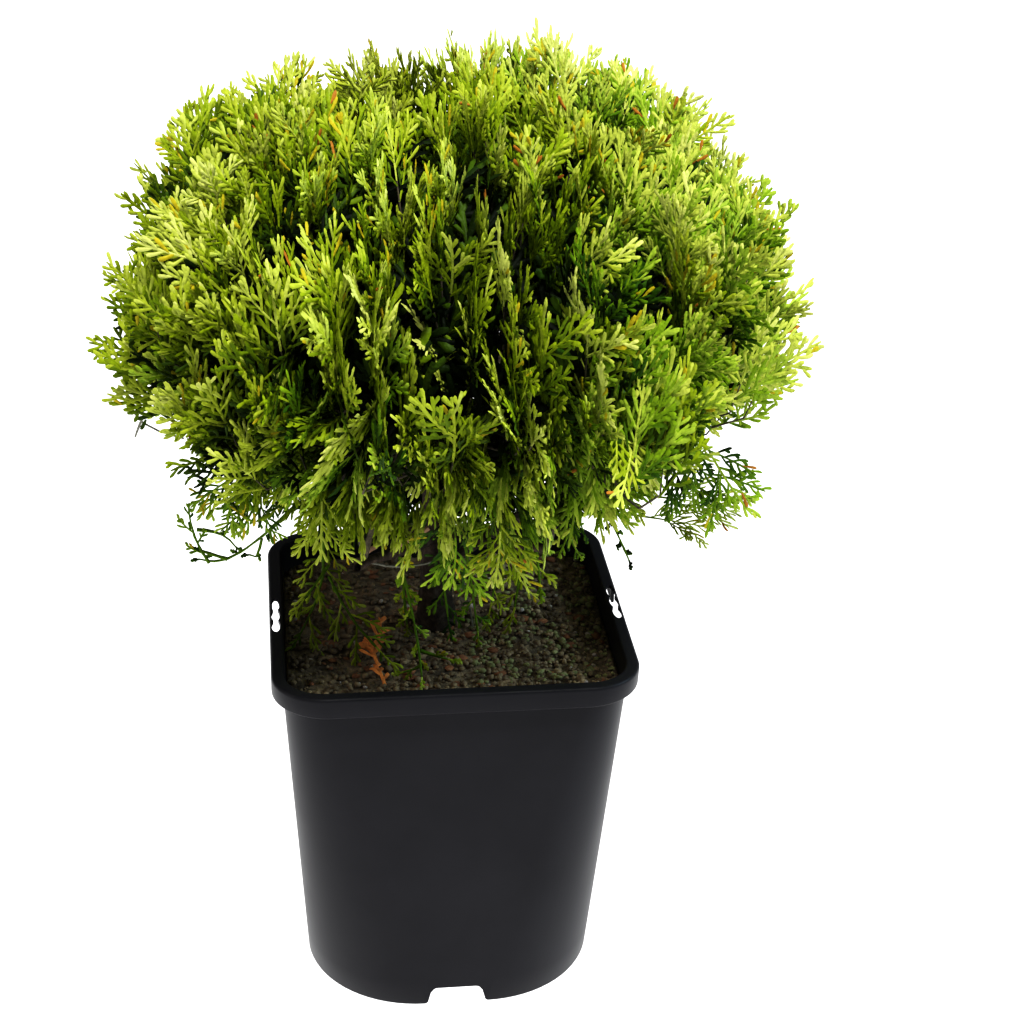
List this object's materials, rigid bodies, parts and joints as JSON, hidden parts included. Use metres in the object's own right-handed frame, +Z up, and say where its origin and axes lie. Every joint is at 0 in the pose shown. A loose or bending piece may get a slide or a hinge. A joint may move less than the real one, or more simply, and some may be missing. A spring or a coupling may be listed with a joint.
{
  "type": "potted thuja",
  "caption": "Bushy round evergreen shrub with flat fan-like sprays of scale leaves on a short branching stem, standing in a black square-mouthed nursery pot with a round notched foot.",
  "frame": {"origin": "centre of the pot's underside, on the surface it stands on", "axes": "+Z up, -Y towards the front of the pot (a notched side of its foot), +X to the right"},
  "size_m": [0.319, 0.315, 0.4581],
  "materials": {
    "pot_plastic": "smooth satin moulded plastic",
    "potting_mix": "loose dark peat and bark mix with grit",
    "bark": "thin fibrous grey-brown bark",
    "foliage_bright": "matt yellow-green scale leaves",
    "foliage_mid": "matt mid green scale leaves",
    "foliage_dark": "matt dark green scale leaves"
  },
  "bodies": {
    "root": {"pot": "pot_plastic", "potting_mix": "potting_mix", "trunk": "bark", "foliage_low_1": "foliage_dark", "bough_low_1": "bark", "foliage_low_2": "foliage_dark", "bough_low_2": "bark", "foliage_low_3": "foliage_dark", "bough_low_3": "bark", "foliage_low_4": "foliage_dark", "bough_low_4": "bark", "foliage_low_5": "foliage_dark", "bough_low_5": "bark", "foliage_mid_1": "foliage_mid", "bough_mid_1": "bark", "foliage_mid_2": "foliage_mid", "bough_mid_2": "bark", "foliage_mid_3": "foliage_mid", "bough_mid_3": "bark", "foliage_mid_4": "foliage_mid", "bough_mid_4": "bark", "foliage_mid_5": "foliage_mid", "bough_mid_5": "bark", "foliage_mid_6": "foliage_mid", "bough_mid_6": "bark", "foliage_high_1": "foliage_bright", "bough_high_1": "bark", "foliage_high_2": "foliage_bright", "bough_high_2": "bark", "foliage_high_3": "foliage_bright", "bough_high_3": "bark", "foliage_high_4": "foliage_bright", "bough_high_4": "bark", "foliage_high_5": "foliage_bright", "bough_high_5": "bark", "foliage_top_1": "foliage_bright", "foliage_top_2": "foliage_bright", "foliage_top_3": "foliage_bright", "hanging_spray_left": "foliage_dark", "hanging_spray_pot_left": "foliage_dark", "hanging_spray_pot_middle": "foliage_dark", "hanging_spray_pot_right": "foliage_dark"}
  },
  "joints": []
}
